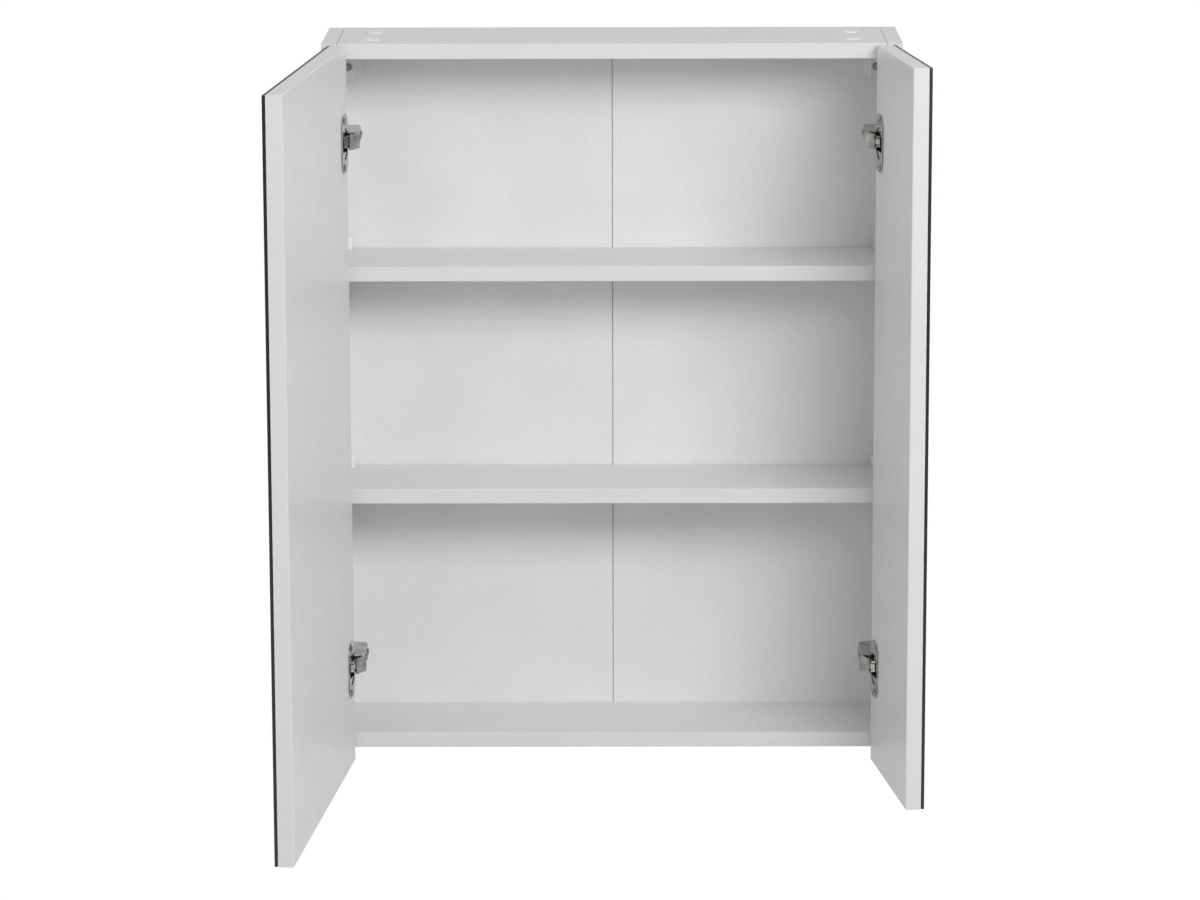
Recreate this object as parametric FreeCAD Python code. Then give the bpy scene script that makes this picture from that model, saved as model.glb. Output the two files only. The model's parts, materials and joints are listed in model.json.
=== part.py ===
"""Wall-hung bathroom mirror cabinet with a wide and a narrow mirrored door, both standing open.

Millimetres, +Z up, +X to the right, +Y towards the wall. The origin lies on the wall plane, at the
middle of the top board's rear edge. Doors and hinges are drawn shut in a corner frame (u from the
side's outer face inwards, v forwards from the body's front, z as above) and then swung open.
"""
import FreeCAD, Part
import math
import os

Vector = FreeCAD.Vector
os.makedirs("parts", exist_ok=True)

# body
body_width = 600.0
body_height = 750.0
body_depth = 148.0
board = 16.0
back_thickness = 3.0
back_inset = 19.0            # wall plane to the back panel's rear face
groove_depth = 6.0
groove_clearance = 0.15      # each side of the back panel and past its edges
seam = 0.8                   # gap between the two halves of the back panel
tape_width = 30.0
tape_thickness = 0.3

# shelves
shelf_tops = (233.0, 470.0)  # below the cabinet's top
shelf_setback = 3.0
shelf_end_gap = 0.5
shelf_back_gap = 1.2
board_ease = 0.6             # eased long edges of the boards
clip_front = 37.0            # from the body's front to the front shelf clips
clip_rear = 12.0             # from the back panel to the rear shelf clips
clip_width = 12.0
clip_reach = 7.0
clip_seat = 7.0
clip_lip = 13.0
clip_spine = 2.0
clip_pin_radius = 2.5
clip_pin_length = 8.0
clip_clearance = 0.3

# carcass fittings
cam_radius = 7.5
cam_height = 12.0
cam_inset = 34.0             # from the side board to the cam's centre
cam_lines = (37.0, 101.0)    # from the body's front
cap_radius = 8.5
cap_thickness = 0.8
cap_stub_radius = 2.6
cap_stub = 2.4
bolt_radius = 2.9
bolt_thread_radius = 2.5
bolt_thread = 11.0
bolt_head_radius = 3.4
bolt_head = 2.6
bolt_neck_radius = 2.0
dowel_radius = 4.0
dowel_in_side = 11.0
dowel_in_board = 19.0
dowel_line = 69.0
hole_clearance = 0.05        # radial
hole_end_gap = 0.4

# cabinet hangers in the top corners
hanger_width = 12.0
hanger_depth = 23.0
hanger_height = 33.0
hanger_top_gap = 1.0
hanger_base_width = 18.3
hanger_base_height = 30.5
hanger_base_thickness = 4.0
hanger_rim = 1.3
hanger_rim_lift = 1.0
hanger_peg_radius = 4.0
hanger_peg = 9.0
hanger_screw_radius = 3.7
hanger_screw_inset = 5.6     # from the side board
hanger_screw_drops = (7.0, 19.5)
hanger_screw_seat = 2.6      # from the housing's front face
hanger_screw_head = 2.2
hanger_screw_clearance = 0.3
hanger_shank_radius = 2.0
hanger_shank = 6.8
hanger_foot_slot = (4.5, 1.8)   # depth and height of the notch at the housing's foot
hook_thickness = 2.0
hook_height = 10.0
hook_nose = 9.0
hook_lip = 4.0
hook_wall_gap = 3.0
hook_inset = 10.0            # housing's front to the strip's front end
hook_clearance = 0.5
hook_slot_clearance = 1.5    # each side of the strip in the back panel

# doors
door_board = 16.0
mirror_thickness = 3.0
bond_thickness = 0.5
mirror_arris = 0.4
door_ease = 0.8
bond_inset = 1.0
left_door_width = 398.0
door_edge_inset = 1.0        # door edge in from the side's outer face
door_meeting_gap = 3.0
door_top_drop = 1.0
door_overhang = 12.0
door_gap = 2.0               # door's inner face in front of the body when shut
door_angles = {"left": 95.5, "right": 97.5}   # how far each door stands open

# hinges
hinge_from_top = 100.0       # body top to the upper hinge's centre
hinge_from_bottom = 92.0
arm_pivot = (27.2, -9.0)     # outer link on the arm, (u, v)
cup_pivot = (9.4, 7.1)       # outer link in the cup, door shut
inner_arm_pivot = (32.6, -2.3)
inner_tip = (12.0, 7.0)
outer_turn = 0.33            # degrees that the outer link turns back per degree of door
inner_turn = 0.36
outer_route = ((10.6, 10.4), (14.0, 11.6), (17.0, 10.3), (20.6, 7.0), (21.8, 0.0))
inner_route = ((14.0, 8.8), (19.3, 9.3), (24.0, 7.0), (28.0, 3.5))
link_thickness = 1.8
outer_link_span = (3.3, 5.9)  # from the hinge's centre plane
inner_link_half = 2.8
arm_pin_radius = 1.25
cup_pin_radius = 0.8
inner_pin_radius = 1.0
pin_clearance = 0.06
pin_stub = 0.3               # cup pin past the inner face of a cheek
arm_eye_radius = 2.6
cup_eye_radius = 1.7
inner_eye_radius = 2.4
inner_tip_radius = 1.3
cup_edge = 4.0               # board left between cup and door edge
cup_radius = 17.5
cup_depth = 12.0
cup_wall = 1.0
cup_clearance = 0.1
flange_thickness = 1.3
flange_half = 18.9
flange_reach = 30.0
flange_corner = 14.0
ear_spacing = 48.0
ear_offset = 6.0
flange_mouth = 7.0           # half the gap in the flange where the links leave
ear_head_radius = 3.6
ear_head = 1.1
ear_shank_radius = 1.7
ear_shank = 11.0
plate_line = 37.0
plate_wing = 2.0
plate_wing_width = 12.0
plate_wing_reach = 24.0
plate_screw_spacing = 32.0
plate_screw_radius = 2.1
plate_screw_head_radius = 3.9
plate_screw_head = 1.6
plate_screw_depth = 11.0
plate_body_half = 6.1
plate_body_top = 5.5
plate_body_gap = 1.0         # short of the arm's rear end
arm_back = 62.0
arm_half = 7.9
arm_sheet = 1.5
arm_top = 21.2               # side board's inner face to the arm's top
arm_nose = 3.0
arm_screw_lines = (26.0, 50.0)
arm_screw_radius = 1.9
arm_screw_head_radius = 3.5
arm_screw_head = 1.4
arm_screw_tip_gap = 2.0       # screw tip short of the side board

half = body_width / 2
inner_half = half - board
z_top = board / 2
z_bottom = z_top - body_height
back_front = -(back_inset + back_thickness)
cup_centre = door_edge_inset + cup_edge + cup_radius
right_door_width = body_width - 2 * door_edge_inset - door_meeting_gap - left_door_width
door_widths = {"left": left_door_width, "right": right_door_width}
hinge_heights = {"top": z_top - hinge_from_top, "bottom": z_bottom + hinge_from_bottom}
sides = {"left": -1, "right": 1}


def box(x0, x1, y0, y1, z0, z1):
    low = Vector(min(x0, x1), min(y0, y1), min(z0, z1))
    return Part.makeBox(abs(x1 - x0), abs(y1 - y0), abs(z1 - z0), low)


def eased(solid, size, outer_edges):
    """Chamfer the long outer edges that the test picks out."""
    return solid.makeChamfer(size, [edge for edge in solid.Edges if outer_edges(edge.BoundBox)])


def rod(radius, start, end):
    start = Vector(*start)
    along = Vector(*end) - start
    return Part.makeCylinder(radius, along.Length, start, along)


def save(name, solids):
    solids = solids if isinstance(solids, list) else [solids]
    shape = solids[0] if len(solids) == 1 else Part.makeCompound(solids)
    shape.exportStep("parts/" + name + ".step")


def to_corner(shape, side):
    """Corner frame (u, v) to the body's own frame."""
    if side == "left":
        placed = shape.mirror(Vector(0, 0, 0), Vector(0, 1, 0))
    else:
        placed = shape.copy()
        placed.rotate(Vector(0, 0, 0), Vector(0, 0, 1), 180)
    placed.translate(Vector(sides[side] * half, -body_depth, 0))
    return placed


def turned(point, pivot, degrees):
    angle = math.radians(degrees)
    du, dv = point[0] - pivot[0], point[1] - pivot[1]
    return (pivot[0] + du * math.cos(angle) - dv * math.sin(angle),
            pivot[1] + du * math.sin(angle) + dv * math.cos(angle))


def swing(shape, pivot, degrees):
    placed = shape.copy()
    placed.rotate(Vector(pivot[0], pivot[1], 0), Vector(0, 0, 1), degrees)
    return placed


def open_door(shape, side):
    """The outer link carries the cup's pivot round the arm, and the door turns about that pivot."""
    angle = door_angles[side]
    carried = turned(cup_pivot, arm_pivot, -outer_turn * angle)
    placed = shape.copy()
    placed.translate(Vector(carried[0] - cup_pivot[0], carried[1] - cup_pivot[1], 0))
    return to_corner(swing(placed, carried, angle), side)


def clip_places():
    """Where the shelf clips sit: shelf underside height, distance along the side, rear or front."""
    for top in shelf_tops:
        under = z_top - top - board
        yield under, -body_depth + clip_front, False
        yield under, back_front - clip_rear, True


def side_board(side):
    sign = sides[side]
    face = sign * inner_half
    solid = eased(box(sign * half, face, -body_depth, 0, z_bottom, z_top), board_ease,
                  lambda b: b.ZLength > board and b.YMax < -board)
    cuts = [box(face, face + sign * (groove_depth + groove_clearance),
                back_front - groove_clearance, -back_inset + groove_clearance,
                z_bottom + board - groove_depth - groove_clearance,
                z_top - board + groove_depth + groove_clearance)]
    for level in (0.0, z_bottom + board / 2):
        for line in cam_lines:
            cuts.append(rod(bolt_thread_radius + hole_clearance, (face, line - body_depth, level),
                            (face + sign * (bolt_thread + hole_end_gap), line - body_depth, level)))
        cuts.append(rod(dowel_radius + hole_clearance, (face, dowel_line - body_depth, level),
                        (face + sign * (dowel_in_side + hole_end_gap), dowel_line - body_depth, level)))
    for under, y, _ in clip_places():
        cuts.append(rod(clip_pin_radius + hole_clearance, (face, y, under - clip_seat / 2),
                        (face + sign * (clip_pin_length + hole_end_gap), y, under - clip_seat / 2)))
    for level in hinge_heights.values():
        for step in (-0.5, 0.5):
            z = level + step * plate_screw_spacing
            cuts.append(rod(plate_screw_radius + hole_clearance, (face, plate_line - body_depth, z),
                            (face + sign * (plate_screw_depth + hole_end_gap), plate_line - body_depth, z)))
    for y, z in hanger_pegs():
        cuts.append(rod(hanger_peg_radius + hole_clearance, (face, y, z),
                        (face + sign * (hanger_peg + hole_end_gap), y, z)))
    return solid.cut(cuts)


def cross_board(level, up):
    """Top or bottom board between the sides; up is the direction of its outer face."""
    outer = level + up * board / 2
    solid = eased(box(-inner_half, inner_half, -body_depth, 0, level - board / 2, level + board / 2),
                  board_ease, lambda b: b.XLength > board and b.YMax < -board)
    cuts = [box(-inner_half, inner_half, back_front - groove_clearance, -back_inset + groove_clearance,
                level - up * board / 2, level - up * (board / 2 - groove_depth - groove_clearance))]
    for sign in sides.values():
        face = sign * inner_half
        centre = sign * (inner_half - cam_inset)
        for line in cam_lines:
            y = line - body_depth
            cuts.append(rod(cam_radius + hole_clearance, (centre, y, outer),
                            (centre, y, outer - up * (cam_height + 2 * hole_end_gap))))
            cuts.append(rod(bolt_head_radius + hole_end_gap, (face, y, level), (centre, y, level)))
        y = dowel_line - body_depth
        cuts.append(rod(dowel_radius + hole_clearance, (face, y, level),
                        (face - sign * (dowel_in_board + hole_end_gap), y, level)))
    return solid.cut(cuts)


def shelf(top):
    """A shelf with a notch at each rear corner for the clip's spine."""
    z1 = z_top - top
    end = inner_half - shelf_end_gap
    solid = eased(box(-end, end, -body_depth + shelf_setback, back_front - shelf_back_gap, z1 - board, z1),
                  board_ease, lambda b: b.XLength > board and b.YMax < back_front - board)
    y = back_front - clip_rear
    reach = clip_width / 2 + clip_clearance
    cuts = [box(sign * end, sign * (inner_half - clip_spine - clip_clearance), y - reach, y + reach,
                z1 - board, z1) for sign in sides.values()]
    return solid.cut(cuts)


def shelf_clips():
    clips = []
    for sign in sides.values():
        face = sign * inner_half
        for under, y, is_rear in clip_places():
            y0, y1 = y - clip_width / 2, y + clip_width / 2
            clip = box(face, face - sign * clip_reach, y0, y1, under - clip_seat, under)
            z = under - clip_seat / 2
            clip = clip.fuse(rod(clip_pin_radius, (face, y, z), (face + sign * clip_pin_length, y, z)))
            if is_rear:
                lip = under + board + clip_clearance
                clip = clip.fuse([box(face, face - sign * clip_spine, y0, y1, under, lip + clip_lip),
                                  box(face, face - sign * clip_reach, y0, y1, lip, lip + clip_lip)])
            clips.append(clip.removeSplitter())
    return clips


def back_half(side):
    sign = sides[side]
    panel = box(sign * (inner_half + groove_depth), sign * seam / 2, back_front, -back_inset,
                z_bottom + board - groove_depth, z_top - board + groove_depth)
    slot = hook_thickness / 2 + hook_slot_clearance
    centre = sign * (inner_half - hanger_screw_inset)
    z = hook_level()
    return panel.cut(box(centre - slot, centre + slot, back_front - 1, -back_inset + 1,
                         z - hook_height / 2 - hook_nose - 1, z + hook_height / 2 + 1))


def back_tape():
    return box(-tape_width / 2, tape_width / 2, -back_inset, -back_inset + tape_thickness,
               z_bottom + board, z_top - board)


def corner_fittings():
    """Cams, their bolts and caps, and the dowels, at the four corners of the carcass."""
    cams, bolts, caps, dowels = [], [], [], []
    for level, up in ((0.0, 1), (z_bottom + board / 2, -1)):
        outer = level + up * board / 2
        for sign in sides.values():
            face = sign * inner_half
            centre = sign * (inner_half - cam_inset)
            for line in cam_lines:
                y = line - body_depth
                cam_top = outer - up * hole_end_gap
                cam = rod(cam_radius, (centre, y, cam_top), (centre, y, cam_top - up * cam_height))
                socket = rod(bolt_head_radius + 2 * hole_clearance, (centre - sign * bolt_head, y, level),
                             (centre + sign * cam_radius * 1.1, y, level))
                screwdriver = rod(cap_stub_radius + hole_clearance, (centre, y, cam_top),
                                  (centre, y, cam_top - up * (cap_stub + hole_clearance)))
                cams.append(cam.cut([socket, screwdriver]))
                neck = centre + sign * (cam_radius + 1)
                head = rod(bolt_head_radius, (centre, y, level), (centre + sign * bolt_head, y, level))
                bolts.append(head.fuse([
                    rod(bolt_neck_radius, (centre, y, level), (neck, y, level)),
                    rod(bolt_radius, (neck, y, level), (face, y, level)),
                    rod(bolt_thread_radius, (face, y, level),
                        (face + sign * bolt_thread, y, level))]).removeSplitter())
                disc = rod(cap_radius, (centre, y, outer), (centre, y, outer + up * cap_thickness))
                rim = [edge for edge in disc.Edges if abs(edge.BoundBox.ZMin - outer) > cap_thickness / 2
                       and edge.BoundBox.ZLength < cap_thickness / 10]
                disc = disc.makeChamfer(cap_thickness / 3, rim)
                stub_end = cam_top - up * cap_stub
                caps.append(disc.fuse(rod(cap_stub_radius, (centre, y, outer),
                                          (centre, y, stub_end))).removeSplitter())
            y = dowel_line - body_depth
            dowels.append(rod(dowel_radius, (face + sign * dowel_in_side, y, level),
                              (face - sign * dowel_in_board, y, level)))
    return cams, bolts, caps, dowels


def hanger_pegs():
    """Height and place of the two pegs that hold a hanger to the side board."""
    top = z_top - board - hanger_top_gap
    y = back_front - hanger_depth / 2
    return [(y, top - hanger_height * 0.25), (y, top - hanger_height * 0.75)]


def hook_level():
    return z_top - board - hanger_top_gap - hanger_height / 2


def hanger_housing(side):
    sign = sides[side]
    face = sign * inner_half
    top = z_top - board - hanger_top_gap
    front = back_front - hanger_depth
    inner = face - sign * hanger_width
    body = box(face, inner, front, back_front, top - hanger_height, top)
    parts = [box(face, face - sign * hanger_base_width, back_front - hanger_base_thickness, back_front,
                 top - hanger_base_height, top),
             box(inner, inner + sign * hanger_rim, front - hanger_rim_lift, back_front,
                 top - hanger_height - hanger_rim_lift, top)]
    parts += [rod(hanger_peg_radius, (face, y, z), (face + sign * hanger_peg, y, z))
              for y, z in hanger_pegs()]
    body = body.fuse(parts).removeSplitter()
    centre = face - sign * hanger_screw_inset
    slot = hook_thickness / 2 + hook_clearance
    z = hook_level()
    reach = hook_height / 2 + hook_clearance
    notch_depth, notch_height = hanger_foot_slot
    cuts = [box(centre - slot, centre + slot, hook_front() - hook_clearance, back_front + 1,
                z - reach, z + reach),
            box(centre - hanger_screw_radius, centre + hanger_screw_radius, front - 1,
                front + notch_depth, top - hanger_height - 1, top - hanger_height + notch_height)]
    shank_end = front + hanger_screw_seat + hanger_shank + hanger_screw_clearance
    for drop in hanger_screw_drops:
        cuts.append(rod(hanger_screw_radius + hanger_screw_clearance, (centre, front - 1, top - drop),
                        (centre, front + hanger_screw_seat, top - drop)))
        cuts.append(rod(hanger_shank_radius + hole_clearance, (centre, front, top - drop),
                        (centre, shank_end, top - drop)))
    return body.cut(cuts)


def hook_front():
    return back_front - hanger_depth + hook_inset


def hanger_hook(side):
    """Steel strip through the back panel, with a nose that drops behind a wall plate's lip."""
    centre = sides[side] * (inner_half - hanger_screw_inset)
    x0, x1 = centre - hook_thickness / 2, centre + hook_thickness / 2
    z = hook_level()
    strip = box(x0, x1, hook_front(), -hook_wall_gap, z - hook_height / 2, z + hook_height / 2)
    nose = box(x0, x1, -hook_wall_gap - hook_lip, -hook_wall_gap, z - hook_height / 2 - hook_nose, z)
    return strip.fuse(nose).removeSplitter()


def cross_recess(radius, depth):
    """Cutter for a cross-head recess, looking along +Z from z = 0 downwards."""
    arm = radius * 0.62
    width = radius * 0.2
    flat = box(-arm, arm, -width, width, -depth, 0.2)
    return flat.fuse(box(-width, width, -arm, arm, -depth, 0.2))


def screw(head_radius, head, shank_radius, shank):
    """A cross-head screw standing on +Z: its head's top face at z = head, its shank below zero."""
    solid = Part.makeCylinder(head_radius, head)
    top = [edge for edge in solid.Edges if edge.BoundBox.ZMin > head / 2]
    solid = solid.makeChamfer(head * 0.3, top)
    solid = solid.fuse(Part.makeCylinder(shank_radius, shank, Vector(0, 0, -shank))).removeSplitter()
    recess = cross_recess(head_radius, head * 0.7)
    recess.translate(Vector(0, 0, head))
    return solid.cut(recess)


def pointed(solid, place, outward):
    """Turn a screw from +Z to the outward direction and put its seat at place."""
    solid = solid.copy()
    solid.Placement = FreeCAD.Placement(Vector(*place), FreeCAD.Rotation(Vector(0, 0, 1), Vector(*outward)))
    return solid


def hanger_screws():
    screws = []
    top = z_top - board - hanger_top_gap
    front = back_front - hanger_depth
    for sign in sides.values():
        centre = sign * (inner_half - hanger_screw_inset)
        for drop in hanger_screw_drops:
            solid = screw(hanger_screw_radius, hanger_screw_head, hanger_shank_radius, hanger_shank)
            screws.append(pointed(solid, (centre, front + hanger_screw_seat, top - drop), (0, -1, 0)))
    return screws


def capsule_chain(points, thickness, z0, z1):
    """A bent strip: straight runs of one thickness joined by round corners."""
    pieces = []
    for start, end in zip(points[:-1], points[1:]):
        length = math.dist(start, end)
        run = Part.makeBox(length, thickness, z1 - z0, Vector(0, -thickness / 2, 0))
        run.rotate(Vector(0, 0, 0), Vector(0, 0, 1), math.degrees(math.atan2(end[1] - start[1],
                                                                               end[0] - start[0])))
        run.translate(Vector(start[0], start[1], z0))
        pieces.append(run)
    for point in points[1:-1]:
        pieces.append(rod(thickness / 2, (*point, z0), (*point, z1)))
    return pieces


def outer_link(level, side):
    """Two bent cheeks between the arm's pin and the cup's pin."""
    cheeks = []
    for sign in (-1, 1):
        z0, z1 = sorted(level + sign * edge for edge in outer_link_span)
        pieces = capsule_chain([cup_pivot, *outer_route, arm_pivot], link_thickness, z0, z1)
        pieces.append(rod(arm_eye_radius, (*arm_pivot, z0), (*arm_pivot, z1)))
        pieces.append(rod(cup_eye_radius, (*cup_pivot, z0), (*cup_pivot, z1)))
        cheek = pieces[0].fuse(pieces[1:]).removeSplitter()
        cheek = cheek.cut([rod(radius + pin_clearance, (*pivot, z0 - 1), (*pivot, z1 + 1))
                           for pivot, radius in ((arm_pivot, arm_pin_radius), (cup_pivot, cup_pin_radius))])
        cheeks.append(to_corner(swing(cheek, arm_pivot, -outer_turn * door_angles[side]), side))
    return cheeks


def inner_link(level, side):
    """One bent plate on the arm's front pin; its tip hangs free in the cup."""
    z0, z1 = level - inner_link_half, level + inner_link_half
    pieces = capsule_chain([inner_tip, *inner_route, inner_arm_pivot], link_thickness, z0, z1)
    pieces.append(rod(inner_eye_radius, (*inner_arm_pivot, z0), (*inner_arm_pivot, z1)))
    pieces.append(rod(inner_tip_radius, (*inner_tip, z0), (*inner_tip, z1)))
    plate = pieces[0].fuse(pieces[1:]).removeSplitter()
    plate = plate.cut(rod(inner_pin_radius + pin_clearance, (*inner_arm_pivot, z0 - 1),
                          (*inner_arm_pivot, z1 + 1)))
    return to_corner(swing(plate, inner_arm_pivot, -inner_turn * door_angles[side]), side)


def arm_pins(level, side):
    return [to_corner(rod(radius, (*pivot, level - arm_half), (*pivot, level + arm_half)), side)
            for pivot, radius in ((arm_pivot, arm_pin_radius), (inner_arm_pivot, inner_pin_radius))]


def hinge_arm(level, side):
    """U-shaped sheet-steel arm that straddles its plate, with a rounded nose."""
    top = board + arm_top
    low = board + plate_wing
    outline = box(low, top, -arm_back, 0, level - arm_half, level + arm_half)
    nose = [edge for edge in outline.Edges if edge.BoundBox.XMin > top - 0.1
            and edge.BoundBox.YMin > -0.1 and edge.BoundBox.ZLength > arm_half]
    tail = [edge for edge in outline.Edges if edge.BoundBox.XMin > top - 0.1
            and edge.BoundBox.YMax < -arm_back + 0.1 and edge.BoundBox.ZLength > arm_half]
    solid = outline.makeFillet(arm_nose, nose + tail)
    inner = box(low - 1, top - arm_sheet, -arm_back - 1, 1, level - arm_half + arm_sheet,
                level + arm_half - arm_sheet)
    cuts = [inner]
    for pivot, radius in ((arm_pivot, arm_pin_radius), (inner_arm_pivot, inner_pin_radius)):
        cuts.append(rod(radius, (*pivot, level - arm_half - 1), (*pivot, level + arm_half + 1)))
    for line in arm_screw_lines:
        cuts.append(rod(arm_screw_radius + hole_clearance, (low, -line, level), (top + 1, -line, level)))
    return to_corner(solid.cut(cuts), side)


def hinge_plate(level, side):
    """Cross-shaped plate on the side board: two wings with a screw each, and a raised rail."""
    wing = box(board, board + plate_wing, -plate_line - plate_wing_width / 2,
               -plate_line + plate_wing_width / 2, level - plate_wing_reach, level + plate_wing_reach)
    ends = [edge for edge in wing.Edges if edge.BoundBox.XLength > plate_wing / 2]
    wing = wing.makeFillet(plate_wing_width * 0.45, ends)
    rail = box(board, board + plate_body_top, -arm_back + plate_body_gap, -arm_back / 4,
               level - plate_body_half, level + plate_body_half)
    solid = wing.fuse(rail).removeSplitter()
    cuts = []
    for step in (-0.5, 0.5):
        z = level + step * plate_screw_spacing
        cuts.append(rod(plate_screw_radius + hole_clearance, (board - 1, -plate_line, z),
                        (board + plate_wing + 1, -plate_line, z)))
    for line in arm_screw_lines:
        cuts.append(rod(arm_screw_radius + hole_clearance, (board + 1, -line, level),
                        (board + plate_body_top + 1, -line, level)))
    return to_corner(solid.cut(cuts), side)


def plate_screws(level, side):
    screws = []
    for step in (-0.5, 0.5):
        solid = screw(plate_screw_head_radius, plate_screw_head, plate_screw_radius,
                      plate_wing + plate_screw_depth)
        place = (board + plate_wing, -plate_line, level + step * plate_screw_spacing)
        screws.append(to_corner(pointed(solid, place, (1, 0, 0)), side))
    return screws


def arm_screws(level, side):
    solid = screw(arm_screw_head_radius, arm_screw_head, arm_screw_radius,
                  arm_top - arm_screw_tip_gap)
    return [to_corner(pointed(solid, (board + arm_top, -line, level), (1, 0, 0)), side)
            for line in arm_screw_lines]


def hinge_cup(level, side):
    """Round cup in the door with a screwed flange, open towards the door's edge for the links."""
    face = door_gap
    centre = (cup_centre, level)
    outside = Part.makeCylinder(cup_radius, cup_depth, Vector(centre[0], face, centre[1]), Vector(0, 1, 0))
    flange = box(cup_centre - flange_half, cup_centre + flange_half, face - flange_thickness, face,
                 level - flange_reach, level + flange_reach)
    flange = flange.makeFillet(flange_corner, [edge for edge in flange.Edges
                                               if edge.BoundBox.YLength > flange_thickness / 2])
    ear_u = cup_centre + ear_offset
    solid = outside.fuse(flange).removeSplitter()
    inside = rod(cup_radius - cup_wall, (cup_centre, face - flange_thickness - 1, level),
                 (cup_centre, face + cup_depth - cup_wall, level))
    mouth = box(0, cup_centre, face - flange_thickness - 1, face, level - flange_mouth, level + flange_mouth)
    cuts = [inside, mouth]
    for sign in (-1, 1):
        z = level + sign * ear_spacing / 2
        cuts.append(rod(ear_shank_radius + hole_clearance, (ear_u, face - flange_thickness - 1, z),
                        (ear_u, face + 1, z)))
    cuts += [rod(cup_pin_radius, start, end) for start, end in cup_pin_ends(level)]
    return open_door(solid.cut(cuts), side)


def cup_pin_ends(level):
    """Two stub pins, each from the cup's wall to just past a link cheek."""
    reach = math.sqrt((cup_radius - cup_wall / 2) ** 2 - (cup_centre - cup_pivot[0]) ** 2)
    near = outer_link_span[0] - pin_stub
    return [((*cup_pivot, level + sign * near), (*cup_pivot, level + sign * reach)) for sign in (-1, 1)]


def cup_screws(level, side):
    screws = []
    for sign in (-1, 1):
        solid = screw(ear_head_radius, ear_head, ear_shank_radius, flange_thickness + ear_shank)
        place = (cup_centre + ear_offset, door_gap - flange_thickness, level + sign * ear_spacing / 2)
        screws.append(open_door(pointed(solid, place, (0, -1, 0)), side))
    return screws


def door_parts(side):
    """Door board bored for its two cups, the bond layer and the mirror on its face."""
    u0, u1 = door_edge_inset, door_edge_inset + door_widths[side]
    z0, z1 = z_bottom - door_overhang, z_top - door_top_drop
    v1 = door_gap + door_board
    v2 = v1 + bond_thickness
    panel = eased(box(u0, u1, door_gap, v1, z0, z1), door_ease,
                  lambda b: b.YMax < door_gap + door_ease and max(b.XLength, b.ZLength) > door_board)
    cuts = []
    for level in hinge_heights.values():
        cuts.append(rod(cup_radius + cup_clearance, (cup_centre, door_gap - 1, level),
                        (cup_centre, door_gap + cup_depth + cup_clearance, level)))
        for sign in (-1, 1):
            z = level + sign * ear_spacing / 2
            cuts.append(rod(ear_shank_radius + hole_clearance, (cup_centre + ear_offset, door_gap - 1, z),
                            (cup_centre + ear_offset, door_gap + ear_shank + hole_end_gap, z)))
    panel = panel.cut(cuts)
    bond = box(u0 + bond_inset, u1 - bond_inset, v1, v2, z0 + bond_inset, z1 - bond_inset)
    glass = box(u0, u1, v2, v2 + mirror_thickness, z0, z1)
    glass = eased(glass, mirror_arris, lambda b: b.YMin > v2 + mirror_thickness / 2)
    return [open_door(solid, side) for solid in (panel, bond, glass)]


def build_carcass():
    save("top_panel", cross_board(0.0, 1))
    save("bottom_panel", cross_board(z_bottom + board / 2, -1))
    save("upper_shelf", shelf(shelf_tops[0]))
    save("lower_shelf", shelf(shelf_tops[1]))
    save("shelf_clips", shelf_clips())
    save("back_seam_tape", back_tape())
    cams, bolts, caps, dowels = corner_fittings()
    save("cam_discs", cams)
    save("cam_bolts", bolts)
    save("cam_caps", caps)
    save("dowels", dowels)
    save("hanger_screws", hanger_screws())
    for side in sides:
        save("side_panel_" + side, side_board(side))
        save("back_panel_" + side, back_half(side))
        save("hanger_housing_" + side, hanger_housing(side))
        save("hanger_hook_" + side, hanger_hook(side))


def build_hinges():
    fixed = {"hinge_plate_screws": [], "hinge_arm_screws": [], "hinge_arm_pins": []}
    for side in sides:
        outer, inner, screws, pins = [], [], [], []
        for place, level in hinge_heights.items():
            save("hinge_plate_" + side + "_" + place, hinge_plate(level, side))
            save("hinge_arm_" + side + "_" + place, hinge_arm(level, side))
            save("hinge_cup_" + side + "_" + place, hinge_cup(level, side))
            fixed["hinge_plate_screws"] += plate_screws(level, side)
            fixed["hinge_arm_screws"] += arm_screws(level, side)
            fixed["hinge_arm_pins"] += arm_pins(level, side)
            outer += outer_link(level, side)
            inner.append(inner_link(level, side))
            screws += cup_screws(level, side)
            pins += [open_door(rod(cup_pin_radius, start, end), side) for start, end in cup_pin_ends(level)]
        save("hinge_outer_links_" + side, outer)
        save("hinge_inner_links_" + side, inner)
        save("hinge_cup_screws_" + side, screws)
        save("hinge_cup_pins_" + side, pins)
    for name, solids in fixed.items():
        save(name, solids)


def build_doors():
    for side in sides:
        panel, bond, glass = door_parts(side)
        save("door_panel_" + side, panel)
        save("mirror_bond_" + side, bond)
        save("mirror_" + side, glass)


build_carcass()
build_hinges()
build_doors()
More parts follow.
